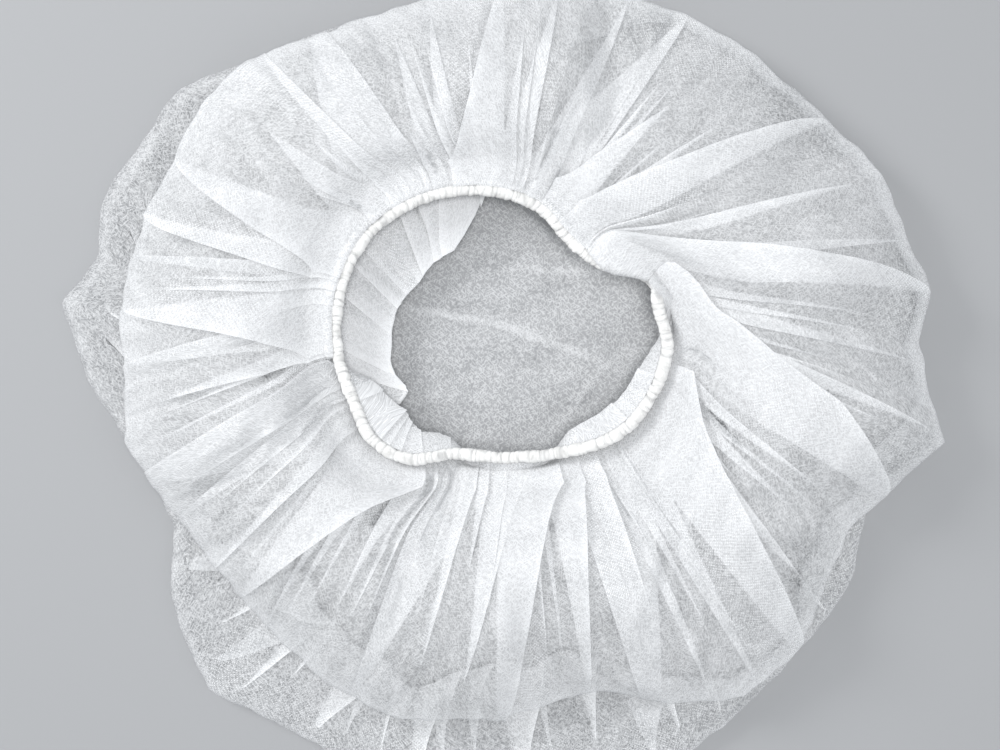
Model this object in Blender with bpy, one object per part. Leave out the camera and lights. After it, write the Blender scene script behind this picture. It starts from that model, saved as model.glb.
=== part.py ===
"""Disposable bouffant hair cover cap, lying spread on a table with its opening upwards.

One round sheet of thin nonwoven cloth is gathered onto an elastic. Its middle, the crown,
lies flat on the table. The sheet folds back on itself at the rim, rises in a soft puff and
runs inwards in gathers to the opening, where its edge is rolled round the elastic.
Units are metres, +Z is up, and the origin is the middle of the base.
"""

import math
from collections import namedtuple

import bmesh
import bpy
from mathutils import Vector

# The sheet as it lies
SPREAD_RADIUS = 0.1500  # mean reach of the rim from the middle of the spread cap
SHEET_WALL = 0.0012  # the thin cloth, stood for by the thinnest wall that is practical
CROWN_FLAT_MARGIN = 0.0100  # the crown starts to lift this far inside its rim
FLOOR_FOLD_HEIGHT = 0.0066  # the lower fold at the rim, from the table to its upper layer
TUCK_GAP = 0.0028  # between the sheet's two layers where it tucks in
PUFF_FOLD_HEIGHT = 0.0122  # where the upper fold of the rim starts
PUFF_HEIGHT = 0.0345  # crest of the puff
FOLD_BULGE = 0.0020  # a fold's control line stands this far outside its reach
SMALLEST_TUCK = 0.0020  # between the two folds of the rim the sheet always creases in a little
TUCK_RISE = 0.30  # the tuck's depth lies this share of the way up between the two folds
RETURN_SHARE = 0.22  # each layer of the tuck straightens this share of the way in
SHOULDER_RISE = 0.36  # the upper fold ends this share of the way up to the crest

# The opening
RING_RADIUS = 0.0535  # mean radius of the elastic's own line
RING_SHIFT_Y = 0.0262  # the opening lies off the middle, towards the back
RING_HEIGHT = 0.0205  # the elastic's line above the table
ROLL_FULL = 0.0080  # from this much roll on, the sheet reaches the hem from inside
SEAT_ANGLE_OUTSIDE = -20  # where the sheet meets the hem's section: its outer side is 0
SEAT_ANGLE_INSIDE = -165
ROLL_FLATNESS = 0.42  # a roll's depth below the elastic's line, as a share of its reach
HEM_APPROACH = 0.0115  # the gathered sheet settles this far outside the elastic's line

# The gathers
GATHER_COUNT = 28
GATHER_HEIGHT = 0.0046  # half the height of a gather where it is deepest
GATHER_DRIFT = 0.09  # how unevenly the gathers are spaced, in shares of a gather
DRIFT_CYCLES = (3, 8)  # the spacing drifts in these waves round the opening
GATHER_SWING = 0.24  # how much the gathers' height varies round the opening
SWING_CYCLES = 5
GATHER_FULL_DEPTH = 0.70  # gathers reach their full height here, from 0 at the rim to 1 at the hem
GATHER_DRAWN_DEPTH = 0.78  # from here on the hem holds them down
GATHER_AT_HEM = 0.22  # share of their height that is left at the hem
STEPS_PER_GATHER = 4

# The hem and the elastic in it
ELASTIC_DIAMETER = 0.0016
HEM_WALL = 0.0010
HEM_CLEARANCE = 0.0003  # between the elastic and the hem, and between the hem and the sheet
HEM_SLIT_ANGLE = 44  # degrees of the hem's section left open, where its seam is
HEM_SECTION_POINTS = 6
ELASTIC_SIDES = 6
HEM_STEPS = 72

SHEET_STEPS = GATHER_COUNT * STEPS_PER_GATHER
HEM_CHANNEL_RADIUS = (ELASTIC_DIAMETER / 2 + HEM_CLEARANCE) / math.cos(
    math.radians(360 - HEM_SLIT_ANGLE) / (HEM_SECTION_POINTS - 1) / 2
)
HEM_RADIUS = HEM_CHANNEL_RADIUS + HEM_WALL

# The rim and the puff behind it, by angle from +X, counter-clockwise seen from above.
# floor, puff: reach of the lower and of the upper fold, as shares of SPREAD_RADIUS.
# tuck: how far the sheet creases in between the two folds, as a share of SPREAD_RADIUS.
# crest: height of the puff's crest, as a share of PUFF_HEIGHT.
Section = namedtuple("Section", "angle floor puff tuck crest")
SECTIONS = [
    Section(0, 1.035, 1.028, 0.00, 0.96),
    Section(7, 1.015, 1.010, 0.02, 0.86),
    Section(14, 1.066, 1.060, 0.00, 0.98),
    Section(22, 1.050, 1.043, 0.00, 0.92),
    Section(30, 1.070, 1.058, 0.00, 0.86),
    Section(43, 1.029, 1.019, 0.00, 0.92),
    Section(56, 1.029, 1.019, 0.00, 0.90),
    Section(66, 1.022, 1.012, 0.02, 0.84),
    Section(78, 1.010, 1.004, 0.12, 0.90),
    Section(87, 0.996, 0.990, 0.36, 0.86),
    Section(96, 0.982, 0.974, 0.52, 0.90),
    Section(106, 0.971, 0.962, 0.60, 0.92),
    Section(117, 0.992, 0.971, 0.63, 0.88),
    Section(127, 1.018, 1.009, 0.69, 0.92),
    Section(136, 1.084, 1.002, 0.69, 0.86),
    Section(145, 1.072, 0.964, 0.67, 0.92),
    Section(154, 1.084, 0.954, 0.68, 0.86),
    Section(161, 1.038, 0.942, 0.68, 0.94),
    Section(168, 1.092, 0.933, 0.69, 0.90),
    Section(178, 1.006, 0.900, 0.70, 0.96),
    Section(187, 0.918, 0.906, 0.66, 0.92),
    Section(195, 0.864, 0.858, 0.52, 0.98),
    Section(202, 0.858, 0.820, 0.36, 0.92),
    Section(212, 0.944, 0.791, 0.20, 0.98),
    Section(225, 1.008, 0.784, 0.12, 0.94),
    Section(238, 0.960, 0.800, 0.10, 1.00),
    Section(252, 0.985, 0.810, 0.10, 0.94),
    Section(270, 0.993, 0.769, 0.10, 1.00),
    Section(288, 0.994, 0.738, 0.09, 0.96),
    Section(299, 0.980, 0.840, 0.07, 0.98),
    Section(309, 0.960, 0.924, 0.03, 0.94),
    Section(320, 0.953, 0.933, 0.02, 0.98),
    Section(331, 0.966, 0.897, 0.05, 0.92),
    Section(339, 0.938, 0.892, 0.06, 0.96),
    Section(346, 0.930, 0.955, 0.04, 1.00),
    Section(354, 0.985, 1.066, 0.03, 0.94),
]

# The elastic's line and the sheet's roll under it, by angle about the opening's middle.
# reach: shares of RING_RADIUS. height: shares of RING_HEIGHT.
# roll: how far the sheet bulges into the opening below the elastic, shares of RING_RADIUS.
Edge = namedtuple("Edge", "angle reach height roll")
EDGES = [
    Edge(5, 1.065, 0.98, 0.06),
    Edge(14, 1.062, 1.02, 0.00),
    Edge(21, 0.960, 1.08, 0.00),
    Edge(28, 0.810, 1.10, 0.00),
    Edge(38, 0.735, 1.04, 0.00),
    Edge(54, 0.735, 1.00, 0.00),
    Edge(70, 0.815, 0.98, 0.00),
    Edge(88, 0.870, 1.02, 0.00),
    Edge(106, 0.930, 0.98, 0.00),
    Edge(128, 1.005, 1.00, 0.00),
    Edge(150, 1.075, 1.02, 0.00),
    Edge(172, 1.100, 1.00, 0.00),
    Edge(192, 1.108, 0.98, 0.03),
    Edge(208, 1.115, 1.00, 0.22),
    Edge(222, 1.160, 1.02, 0.36),
    Edge(236, 1.100, 1.00, 0.26),
    Edge(250, 0.935, 0.98, 0.12),
    Edge(272, 0.905, 1.00, 0.06),
    Edge(293, 0.950, 0.98, 0.10),
    Edge(308, 1.035, 1.02, 0.18),
    Edge(322, 1.105, 1.00, 0.19),
    Edge(340, 1.130, 0.98, 0.16),
    Edge(352, 1.130, 1.00, 0.12),
]

# The crown's control points, as shares of its flat reach.
CROWN_SHARES = (0.40, 0.75, 1.00)

# The puff's roof. depth: 0 at the rim, 1 at the elastic's line.
# rise: share of the way up from the fold to the crest. fall: from the crest to the elastic.
Roof = namedtuple("Roof", "depth rise fall")
ROOF = [
    Roof(0.16, 0.86, 0.00),
    Roof(0.36, 1.00, 0.00),
    Roof(0.56, 1.00, 0.10),
    Roof(0.74, 1.00, 0.42),
]

# The sheet's last stretch round the hem. turn: share of the way from the hem's outer side
# to the seat. distance: from the elastic's line, in shares of the seat's distance.
# swell: how much of the roll is added to that distance.
Wrap = namedtuple("Wrap", "turn distance swell")
WRAP = [
    Wrap(0.25, 2.2, 0.0),
    Wrap(0.50, 1.9, 0.5),
    Wrap(0.74, 1.6, 1.1),
    Wrap(0.94, 1.3, 0.9),
    Wrap(1.00, 1.0, 0.0),
]


def around(table, column, angle):
    """A column's value at an angle in degrees: a smooth closed curve through the rows."""
    rows = len(table)
    angle %= 360
    after = next((i for i, row in enumerate(table) if row.angle > angle), rows)
    picked = [table[(after + k) % rows] for k in (-2, -1, 0, 1)]
    x = [row.angle + 360 * ((after + k) // rows) for row, k in zip(picked, (-2, -1, 0, 1))]
    y = [getattr(row, column) for row in picked]
    span = x[2] - x[1]
    share = (angle - x[1]) / span
    slope_in = (y[2] - y[0]) / (x[2] - x[0]) * span
    slope_out = (y[3] - y[1]) / (x[3] - x[1]) * span
    return (
        y[1] * (1 + 2 * share) * (1 - share) ** 2
        + slope_in * share * (1 - share) ** 2
        + y[2] * share**2 * (3 - 2 * share)
        + slope_out * share**2 * (share - 1)
    )


def eased(value):
    """0 below 0, 1 above 1, and a smooth step between."""
    share = min(max(value, 0.0), 1.0)
    return share * share * (3 - 2 * share)


def mix(start, end, share):
    return start + (end - start) * share


def heading(angle):
    """The level direction at an angle in degrees."""
    return Vector((math.cos(math.radians(angle)), math.sin(math.radians(angle)), 0))


def ring_point(angle):
    """A point of the elastic's line."""
    reach = RING_RADIUS * around(EDGES, "reach", angle)
    height = RING_HEIGHT * around(EDGES, "height", angle)
    return Vector((0, RING_SHIFT_Y, height)) + heading(angle) * reach


def ring_outward(angle):
    """The level direction away from the opening, square to the elastic's line."""
    along = ring_point(angle + 1.5) - ring_point(angle - 1.5)
    return Vector((along.y, -along.x, 0)).normalized()


def gather(angle, depth):
    """How far the gathers lift the sheet, at a depth from 0 at the rim to 1 at the hem."""
    drift = sum(math.sin(math.radians(cycles * angle)) for cycles in DRIFT_CYCLES)
    wave = math.cos(math.radians(GATHER_COUNT * angle) + 2 * math.pi * GATHER_DRIFT * drift)
    strength = 1 - GATHER_SWING * (1 - math.cos(math.radians(SWING_CYCLES * angle)))
    held = eased((depth - GATHER_DRAWN_DEPTH) / (1 - GATHER_DRAWN_DEPTH))
    drawn_in = eased(depth / GATHER_FULL_DEPTH) * mix(1, GATHER_AT_HEM, held)
    return GATHER_HEIGHT * wave * strength * drawn_in


def meridian(angle):
    """Control points of the sheet from its middle to its hem, at one angle."""
    out = heading(angle)
    middle = SHEET_WALL / 2
    floor = SPREAD_RADIUS * around(SECTIONS, "floor", angle)
    puff = SPREAD_RADIUS * around(SECTIONS, "puff", angle)
    tuck = max(SPREAD_RADIUS * around(SECTIONS, "tuck", angle), SMALLEST_TUCK)
    crest = PUFF_HEIGHT * around(SECTIONS, "crest", angle)
    roll = max(RING_RADIUS * around(EDGES, "roll", angle), 0.0)
    ring = ring_point(angle)
    away = ring_outward(angle)
    rolled = eased(roll / ROLL_FULL)

    def crown(share):
        return out * (floor - CROWN_FLAT_MARGIN) * share + Vector((0, 0, middle))

    def folded(reach, height):
        return out * reach + Vector((0, 0, height))

    def roof(row):
        level = mix(out * (puff + FOLD_BULGE), Vector((ring.x, ring.y, 0)), row.depth)
        height = mix(mix(PUFF_FOLD_HEIGHT, crest, row.rise), ring.z, row.fall)
        return level + Vector((0, 0, height + gather(angle, row.depth)))

    def beside_hem(outward, up):
        return ring + away * outward + Vector((0, 0, up))

    def wrapped(row):
        turned = row.turn * seat_angle
        distance = row.distance * seat_distance
        outward = (distance + row.swell * roll) * math.cos(turned)
        return beside_hem(outward, (distance + ROLL_FLATNESS * row.swell * roll) * math.sin(turned))

    seat_distance = HEM_RADIUS + HEM_CLEARANCE + SHEET_WALL / 2
    seat_angle = math.radians(mix(SEAT_ANGLE_OUTSIDE, SEAT_ANGLE_INSIDE, rolled))
    tuck_reach = min(floor, puff) - tuck
    tuck_height = mix(FLOOR_FOLD_HEIGHT, PUFF_FOLD_HEIGHT - TUCK_GAP, TUCK_RISE)
    return (
        [crown(share) for share in CROWN_SHARES]
        + [
            folded(floor + FOLD_BULGE, middle),
            folded(floor + FOLD_BULGE, FLOOR_FOLD_HEIGHT),
            folded(mix(floor, tuck_reach, RETURN_SHARE), FLOOR_FOLD_HEIGHT),
            folded(tuck_reach, tuck_height),
            folded(tuck_reach, tuck_height + TUCK_GAP),
            folded(mix(puff, tuck_reach, RETURN_SHARE), PUFF_FOLD_HEIGHT),
            folded(puff + FOLD_BULGE, PUFF_FOLD_HEIGHT),
            folded(puff + FOLD_BULGE, mix(PUFF_FOLD_HEIGHT, crest, SHOULDER_RISE)),
        ]
        + [roof(row) for row in ROOF]
        + [beside_hem(HEM_APPROACH, gather(angle, 1.0) - rolled * HEM_RADIUS)]
        + [wrapped(row) for row in WRAP]
    )


def spline(points):
    """Points along a smooth curve that follows its control points and ends at the last."""
    ended = points + [2 * points[-1] - points[-2]]
    line = [points[0]]
    for before, point, after in zip(ended, ended[1:], ended[2:]):
        line.append(before / 6 + point * 2 / 3 + after / 6)
    return line


def material(name, colour, roughness):
    finish = bpy.data.materials.new(name)
    finish.use_nodes = True
    shader = finish.node_tree.nodes["Principled BSDF"]
    shader.inputs["Base Color"].default_value = (*colour, 1)
    shader.inputs["Roughness"].default_value = roughness
    shader.inputs["Metallic"].default_value = 0
    return finish


def add_object(name, mesh_data, finish):
    mesh = bpy.data.meshes.new(name)
    mesh_data.to_mesh(mesh)
    mesh_data.free()
    mesh.materials.append(finish)
    made = bpy.data.objects.new(name, mesh)
    bpy.context.scene.collection.objects.link(made)
    mesh.shade_smooth()
    mesh.set_sharp_from_angle(angle=math.radians(60))
    return made


def bridge(mesh_data, first, second):
    """Faces between two closed rows of vertices with as many points each."""
    count = len(first)
    for i in range(count):
        j = (i + 1) % count
        mesh_data.faces.new((first[i], first[j], second[j], second[i]))


def sheet_lines():
    """One line of points for each step round the cap."""
    return [spline(meridian(360 * i / SHEET_STEPS)) for i in range(SHEET_STEPS)]


def base_middle(lines):
    """The middle of the spread sheet seen from above."""
    points = [point for line in lines for point in line]
    return Vector(
        tuple((min(p[k] for p in points) + max(p[k] for p in points)) / 2 for k in (0, 1))
        + (0,)
    )


def build_sheet(lines, origin, finish):
    """The crown, the rim, the puff and the gathers: one sheet, thickened into a wall."""
    shape = bmesh.new()
    rows = [
        [shape.verts.new(line[k] - origin) for line in lines] for k in range(len(lines[0]))
    ]
    pole = shape.verts.new(Vector((0, 0, SHEET_WALL / 2)) - origin)
    for i in range(SHEET_STEPS):
        shape.faces.new((pole, rows[0][(i + 1) % SHEET_STEPS], rows[0][i]))
    for lower, upper in zip(rows, rows[1:]):
        bridge(shape, upper, lower)
    bmesh.ops.recalc_face_normals(shape, faces=shape.faces)
    made = add_object("gathered_sheet", shape, finish)
    wall = made.modifiers.new("wall", "SOLIDIFY")
    wall.thickness = SHEET_WALL
    wall.offset = 0
    wall.use_rim = True
    return made


def build_ring(name, section, origin, finish):
    """A closed ring along the elastic's line, of a section given as (outward, up) points."""
    shape = bmesh.new()
    rows = []
    for i in range(HEM_STEPS):
        angle = 360 * i / HEM_STEPS
        centre, away = ring_point(angle) - origin, ring_outward(angle)
        rows.append(
            [shape.verts.new(centre + away * x + Vector((0, 0, z))) for x, z in section]
        )
    for i, row in enumerate(rows):
        bridge(shape, row, rows[(i + 1) % HEM_STEPS])
    bmesh.ops.recalc_face_normals(shape, faces=shape.faces)
    return add_object(name, shape, finish)


def hem_section():
    """The rolled hem cut across: a C whose slit, at its seam, looks down."""
    sweep = 360 - HEM_SLIT_ANGLE
    start = -90 + HEM_SLIT_ANGLE / 2
    turns = [
        math.radians(start + sweep * k / (HEM_SECTION_POINTS - 1))
        for k in range(HEM_SECTION_POINTS)
    ]
    outer = [(HEM_RADIUS * math.cos(t), HEM_RADIUS * math.sin(t)) for t in turns]
    inner = [
        (HEM_CHANNEL_RADIUS * math.cos(t), HEM_CHANNEL_RADIUS * math.sin(t))
        for t in reversed(turns)
    ]
    return outer + inner


def elastic_section():
    turns = [2 * math.pi * k / ELASTIC_SIDES for k in range(ELASTIC_SIDES)]
    return [
        (ELASTIC_DIAMETER / 2 * math.cos(t), ELASTIC_DIAMETER / 2 * math.sin(t)) for t in turns
    ]


def clear_scene():
    for old in list(bpy.data.objects):
        bpy.data.objects.remove(old)


def main():
    clear_scene()
    cloth = material("white_nonwoven", (0.86, 0.87, 0.88), 0.75)
    edging = material("rolled_edging", (0.92, 0.92, 0.91), 0.80)
    rubber = material("white_elastic", (0.88, 0.88, 0.86), 0.55)
    lines = sheet_lines()
    origin = base_middle(lines)
    build_sheet(lines, origin, cloth)
    build_ring("rolled_hem", hem_section(), origin, edging)
    build_ring("elastic_cord", elastic_section(), origin, rubber)


main()
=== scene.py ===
# %% [markdown]
# # A disposable hair cover cap, spread with its opening up
#
# The real thing is one round sheet of very thin nonwoven cloth. Its edge is rolled round a
# white elastic, which draws some two metres of edge into a small ring. Spread on a table
# it becomes a flat pouch: a crown below, a folded rim, and a puffy roof that runs inwards
# in pleats to the ring. This lesson dresses a plain solid of that cap with real cloth
# detail, and it keeps every measure of the solid. Lengths are in metres.

# %% The frame
import math
from collections import namedtuple
from functools import partial

import bmesh
import bpy
import numpy as np
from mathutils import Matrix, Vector


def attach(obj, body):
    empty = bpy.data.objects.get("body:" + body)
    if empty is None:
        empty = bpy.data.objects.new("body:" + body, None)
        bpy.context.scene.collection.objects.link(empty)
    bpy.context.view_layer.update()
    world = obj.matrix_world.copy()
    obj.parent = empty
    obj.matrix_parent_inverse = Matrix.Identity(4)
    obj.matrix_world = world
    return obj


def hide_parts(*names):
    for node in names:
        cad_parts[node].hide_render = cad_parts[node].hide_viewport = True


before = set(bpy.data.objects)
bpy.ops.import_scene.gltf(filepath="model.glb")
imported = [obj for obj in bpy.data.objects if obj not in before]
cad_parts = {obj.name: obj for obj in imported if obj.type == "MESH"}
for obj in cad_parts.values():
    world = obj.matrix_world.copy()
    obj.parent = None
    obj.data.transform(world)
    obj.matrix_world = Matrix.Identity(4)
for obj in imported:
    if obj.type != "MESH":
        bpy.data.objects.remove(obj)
bpy.context.view_layer.update()

# %% [markdown]
# ## The sizes of the cap as it lies
#
# The fine cloth has to lie where the solid lies, so both follow the same rules. A section
# through the cap at any angle is one smooth line: out along the crown, back over the lower
# fold of the rim, in to a tuck, out again to the upper fold, and over the roof to the ring.
# Two short tables say how far each fold reaches at each angle. Everything else is a share
# of a few named lengths.

# %% Named sizes
SPREAD_RADIUS = 0.1500
CLOTH_LEVEL = 0.0006  # half the solid's wall: the thin cloth lies in the middle of that wall
CROWN_FLAT_MARGIN = 0.0100
FLOOR_FOLD_HEIGHT = 0.0066
TUCK_GAP = 0.0028
PUFF_FOLD_HEIGHT = 0.0122
PUFF_HEIGHT = 0.0345
FOLD_BULGE = 0.0020
SMALLEST_TUCK = 0.0020
TUCK_RISE = 0.30
DEEP_TUCK = 0.045  # a shallower tuck than this runs unevenly: sines round the cap and shares
TUCK_WAVES = ((9, 0.22), (17, 0.18), (31, 0.12))
RETURN_SHARE = 0.22
SHOULDER_RISE = 0.14  # thin cloth folds more sharply at the rim than the solid's wall
RING_RADIUS = 0.0535
RING_SHIFT_Y = 0.0262
RING_HEIGHT = 0.0205
ROLL_FULL = 0.0080
SEAT_ANGLE_OUTSIDE = 42  # the thin cloth climbs a little over the hem, where the wall ends below
SEAT_ANGLE_INSIDE = -165
COVER_AT = 24  # degrees: here a fold of cloth lies right over the hem
COVER_REACH = 17
COVER_TURN = 112
COVER_DISTANCE = 0.30
COVER_CLOSENESS = 0.25  # what is left there of the gap that the cloth keeps on its way round
ROLL_FLATNESS = 0.42
HEM_APPROACH = 0.0115
HEM_RADIUS = 0.0025
SEAT_DISTANCE = 0.0021  # the cloth runs right into the hem's own skin

# %% The rim and the ring, by angle from +X
# floor, puff: reach of the lower and the upper fold. tuck: depth of the crease between them.
# All three are shares of SPREAD_RADIUS. crest: share of PUFF_HEIGHT.
Section = namedtuple("Section", "angle floor puff tuck crest")
SECTIONS = [
    Section(0, 1.035, 1.028, 0.00, 0.96),
    Section(7, 1.015, 1.010, 0.02, 0.86),
    Section(14, 1.066, 1.060, 0.00, 0.98),
    Section(22, 1.050, 1.043, 0.00, 0.92),
    Section(30, 1.070, 1.058, 0.00, 0.86),
    Section(43, 1.029, 1.019, 0.00, 0.92),
    Section(56, 1.029, 1.019, 0.00, 0.90),
    Section(66, 1.022, 1.012, 0.02, 0.84),
    Section(78, 1.010, 1.004, 0.12, 0.90),
    Section(87, 0.996, 0.990, 0.36, 0.86),
    Section(96, 0.982, 0.974, 0.52, 0.90),
    Section(106, 0.971, 0.962, 0.60, 0.92),
    Section(117, 0.992, 0.971, 0.63, 0.88),
    Section(127, 1.018, 1.009, 0.69, 0.92),
    Section(136, 1.084, 1.002, 0.69, 0.86),
    Section(145, 1.072, 0.964, 0.67, 0.92),
    Section(154, 1.084, 0.954, 0.68, 0.86),
    Section(161, 1.038, 0.942, 0.68, 0.94),
    Section(168, 1.092, 0.933, 0.69, 0.90),
    Section(178, 1.006, 0.900, 0.70, 0.96),
    Section(187, 0.918, 0.906, 0.66, 0.92),
    Section(195, 0.864, 0.858, 0.52, 0.98),
    Section(202, 0.858, 0.820, 0.36, 0.92),
    Section(212, 0.944, 0.791, 0.20, 0.98),
    Section(225, 1.008, 0.784, 0.12, 0.94),
    Section(238, 0.960, 0.800, 0.10, 1.00),
    Section(252, 0.985, 0.810, 0.10, 0.94),
    Section(270, 0.993, 0.769, 0.10, 1.00),
    Section(288, 0.994, 0.738, 0.09, 0.96),
    Section(299, 0.980, 0.840, 0.07, 0.98),
    Section(309, 0.960, 0.924, 0.03, 0.94),
    Section(320, 0.953, 0.933, 0.02, 0.98),
    Section(331, 0.966, 0.897, 0.05, 0.92),
    Section(339, 0.938, 0.892, 0.06, 0.96),
    Section(346, 0.930, 0.955, 0.04, 1.00),
    Section(354, 0.985, 1.066, 0.03, 0.94),
]
# reach and roll are shares of RING_RADIUS, height is a share of RING_HEIGHT.
Edge = namedtuple("Edge", "angle reach height roll")
EDGES = [
    Edge(5, 1.065, 0.98, 0.06),
    Edge(14, 1.062, 1.02, 0.00),
    Edge(21, 0.960, 1.08, 0.00),
    Edge(28, 0.810, 1.10, 0.00),
    Edge(38, 0.735, 1.04, 0.00),
    Edge(54, 0.735, 1.00, 0.00),
    Edge(70, 0.815, 0.98, 0.00),
    Edge(88, 0.870, 1.02, 0.00),
    Edge(106, 0.930, 0.98, 0.00),
    Edge(128, 1.005, 1.00, 0.00),
    Edge(150, 1.075, 1.02, 0.00),
    Edge(172, 1.100, 1.00, 0.00),
    Edge(192, 1.108, 0.98, 0.03),
    Edge(208, 1.115, 1.00, 0.22),
    Edge(222, 1.160, 1.02, 0.36),
    Edge(236, 1.100, 1.00, 0.26),
    Edge(250, 0.935, 0.98, 0.12),
    Edge(272, 0.905, 1.00, 0.06),
    Edge(293, 0.950, 0.98, 0.10),
    Edge(308, 1.035, 1.02, 0.18),
    Edge(322, 1.105, 1.00, 0.19),
    Edge(340, 1.130, 0.98, 0.16),
    Edge(352, 1.130, 1.00, 0.12),
]
CROWN_SHARES = (0.40, 0.75, 1.00)
RIM_WAVES = ((37, 0.0020), (61, 0.0014), (97, 0.0009))  # sines round the rim, and shares
CORNERS = 0.75  # how much of the rim runs in straight stretches between corners
# depth: from 0 at the rim to 1 at the ring. rise and fall: shares of the puff's own height.
Roof = namedtuple("Roof", "depth rise fall")
ROOF = [
    Roof(0.16, 0.60, 0.00),
    Roof(0.36, 0.92, 0.00),
    Roof(0.56, 1.00, 0.10),
    Roof(0.74, 1.00, 0.42),
]
# The last stretch, round the hem: share of the turn, distance, and share of the roll.
Wrap = namedtuple("Wrap", "turn distance swell")
WRAP = [
    Wrap(0.25, 2.2, 0.0),
    Wrap(0.50, 1.9, 0.5),
    Wrap(0.74, 1.6, 1.1),
    Wrap(0.94, 1.3, 0.9),
    Wrap(1.00, 1.0, 0.0),
]


# %% Reading the tables at many angles at once
def eased(value):
    """0 below 0, 1 above 1, and a smooth step between."""
    share = np.clip(value, 0.0, 1.0)
    return share * share * (3 - 2 * share)


def mix(start, end, share):
    return start + (end - start) * share


def around(rows, column, angles):
    """A column's value at each angle in degrees: a smooth closed curve through the rows."""
    x = np.array([row.angle for row in rows], float)
    y = np.array([getattr(row, column) for row in rows], float)
    x = np.concatenate([x[-2:] - 360, x, x[:2] + 360])
    y = np.concatenate([y[-2:], y, y[:2]])
    angles = np.mod(angles, 360)
    after = np.searchsorted(x, angles, side="right")
    x0, x1, x2, x3 = (x[np.clip(after + k, 0, len(x) - 1)] for k in (-2, -1, 0, 1))
    y0, y1, y2, y3 = (y[np.clip(after + k, 0, len(x) - 1)] for k in (-2, -1, 0, 1))
    span = x2 - x1
    share = (angles - x1) / span
    slope_in = (y2 - y0) / (x2 - x0) * span
    slope_out = (y3 - y1) / (x3 - x1) * span
    return (
        y1 * (1 + 2 * share) * (1 - share) ** 2
        + slope_in * share * (1 - share) ** 2
        + y2 * share**2 * (3 - 2 * share)
        + slope_out * share**2 * (share - 1)
    )


def cornered(rows, column, angles):
    """The same closed curve as a polygon, with a corner at each row."""
    x = np.array([row.angle for row in rows], float)
    y = np.array([getattr(row, column) for row in rows], float)
    angles = np.mod(angles, 360)
    after = np.searchsorted(x, angles, side="right")
    x1, x2 = x[after - 1] - 360 * (after == 0), x[after % len(x)] + 360 * (after == len(x))
    y1, y2 = y[after - 1], y[after % len(x)]
    before, ahead = np.radians(angles - x1), np.radians(x2 - angles)
    return y1 * y2 * np.sin(before + ahead) / (y1 * np.sin(before) + y2 * np.sin(ahead))


def level(angles):
    """The level direction at each angle."""
    turns = np.radians(angles)
    return np.stack([np.cos(turns), np.sin(turns), np.zeros_like(turns)], axis=-1)


UP = np.array([0.0, 0.0, 1.0])


def ring_line(angles):
    """Points of the elastic's own line."""
    reach = RING_RADIUS * around(EDGES, "reach", angles)
    height = RING_HEIGHT * around(EDGES, "height", angles)
    return (
        np.array([0.0, RING_SHIFT_Y, 0.0])
        + level(angles) * reach[..., None]
        + UP * height[..., None]
    )


def ring_outward(angles):
    """The level direction away from the opening, square to the elastic's line."""
    along = ring_line(angles + 1.5) - ring_line(angles - 1.5)
    away = np.stack([along[..., 1], -along[..., 0], np.zeros(along.shape[:-1])], axis=-1)
    return away / np.linalg.norm(away, axis=-1, keepdims=True)


# %% [markdown]
# ## The line of a section
#
# Each section is drawn with a row of control points and a smooth spline through their
# middle, as in a drawing program. The spline can be read at any place along it, so the
# cloth can be as fine as it needs to be, and still lies on the solid's surface. Thin cloth
# doesn't keep to the solid's even curve everywhere. So the rim gets corners and small
# waves, the tuck runs unevenly, and in one place the line goes on over the hem, because a
# fold of cloth lies on it there.

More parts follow.
